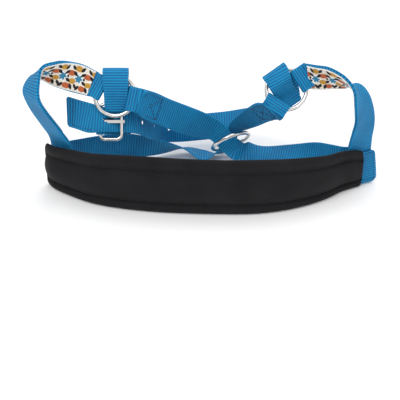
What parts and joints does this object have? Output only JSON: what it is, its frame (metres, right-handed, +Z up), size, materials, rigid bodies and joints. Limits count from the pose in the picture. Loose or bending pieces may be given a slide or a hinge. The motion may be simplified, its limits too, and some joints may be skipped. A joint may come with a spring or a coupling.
{
  "type": "horse halter with padded noseband",
  "caption": "Nylon horse halter with a black padded noseband, patterned overlay ribbon, steel rings and a tongue buckle, lying inside out with its straps folded up.",
  "frame": {"origin": "middle of the bounding box's bottom, on the surface that the pad's lower edge stands on", "axes": "+X towards the right ring as seen from the front, +Y from the pad towards the throat straps, +Z up"},
  "size_m": [0.3056, 0.1314, 0.1247],
  "materials": {
    "pad_foam": "matt black closed-cell foam with fabric skin",
    "thread_black": "black polyester thread",
    "webbing_blue": "bright blue ribbed nylon webbing",
    "overlay_ribbon": "woven ribbon with mosaic pattern and white selvage",
    "thread_blue": "blue polyester thread",
    "nickel": "bright nickel plate on steel"
  },
  "bodies": {
    "halter": {"noseband_pad": "pad_foam", "pad_stitch_upper": "thread_black", "pad_stitch_lower": "thread_black", "noseband_webbing": "webbing_blue", "noseband_overlay": "overlay_ribbon", "cheek_strap_left": "webbing_blue", "cheek_strap_right": "webbing_blue", "cheek_overlay_left": "overlay_ribbon", "cheek_overlay_right": "overlay_ribbon", "foot_ply_right": "webbing_blue", "throat_strap_left": "webbing_blue", "throat_strap_right": "webbing_blue", "crown_strap": "webbing_blue", "buckle_strap": "webbing_blue", "stitch_throat_left": "thread_blue", "stitch_throat_right": "thread_blue", "stitch_crown_tip": "thread_blue", "stitch_cheek_left": "thread_blue", "stitch_cheek_right": "thread_blue"},
    "ring_left": {"ring_left": "nickel"},
    "ring_right": {"ring_right": "nickel"},
    "jaw_ring": {"jaw_ring": "nickel"},
    "buckle_frame": {"buckle_frame": "nickel"},
    "buckle_tongue": {"buckle_tongue": "nickel"}
  },
  "joints": [
    {"name": "ring_left_turn", "type": "hinge", "parent": "halter", "child": "ring_left", "pos_m": [-0.0765, -0.0016, 0.085], "axis": [0, -0.866, 0.5], "continuous": true},
    {"name": "ring_right_turn", "type": "hinge", "parent": "halter", "child": "ring_right", "pos_m": [0.0725, -0.0016, 0.091], "axis": [0, -0.866, 0.5], "continuous": true},
    {"name": "jaw_ring_turn", "type": "hinge", "parent": "halter", "child": "jaw_ring", "pos_m": [0.026, 0.033, 0.0191], "axis": [-0.3475, 0.671, 0.655], "continuous": true},
    {"name": "buckle_frame_tilt", "type": "hinge", "parent": "halter", "child": "buckle_frame", "pos_m": [-0.0905, -0.00592, 0.06151], "axis": [0, 0.5, 0.866], "range_deg": [-5, 0]},
    {"name": "buckle_tongue_lift", "type": "hinge", "parent": "buckle_frame", "child": "buckle_tongue", "pos_m": [-0.0905, -0.00592, 0.06151], "axis": [0, 0.5, 0.866], "range_deg": [-8, 0]}
  ]
}
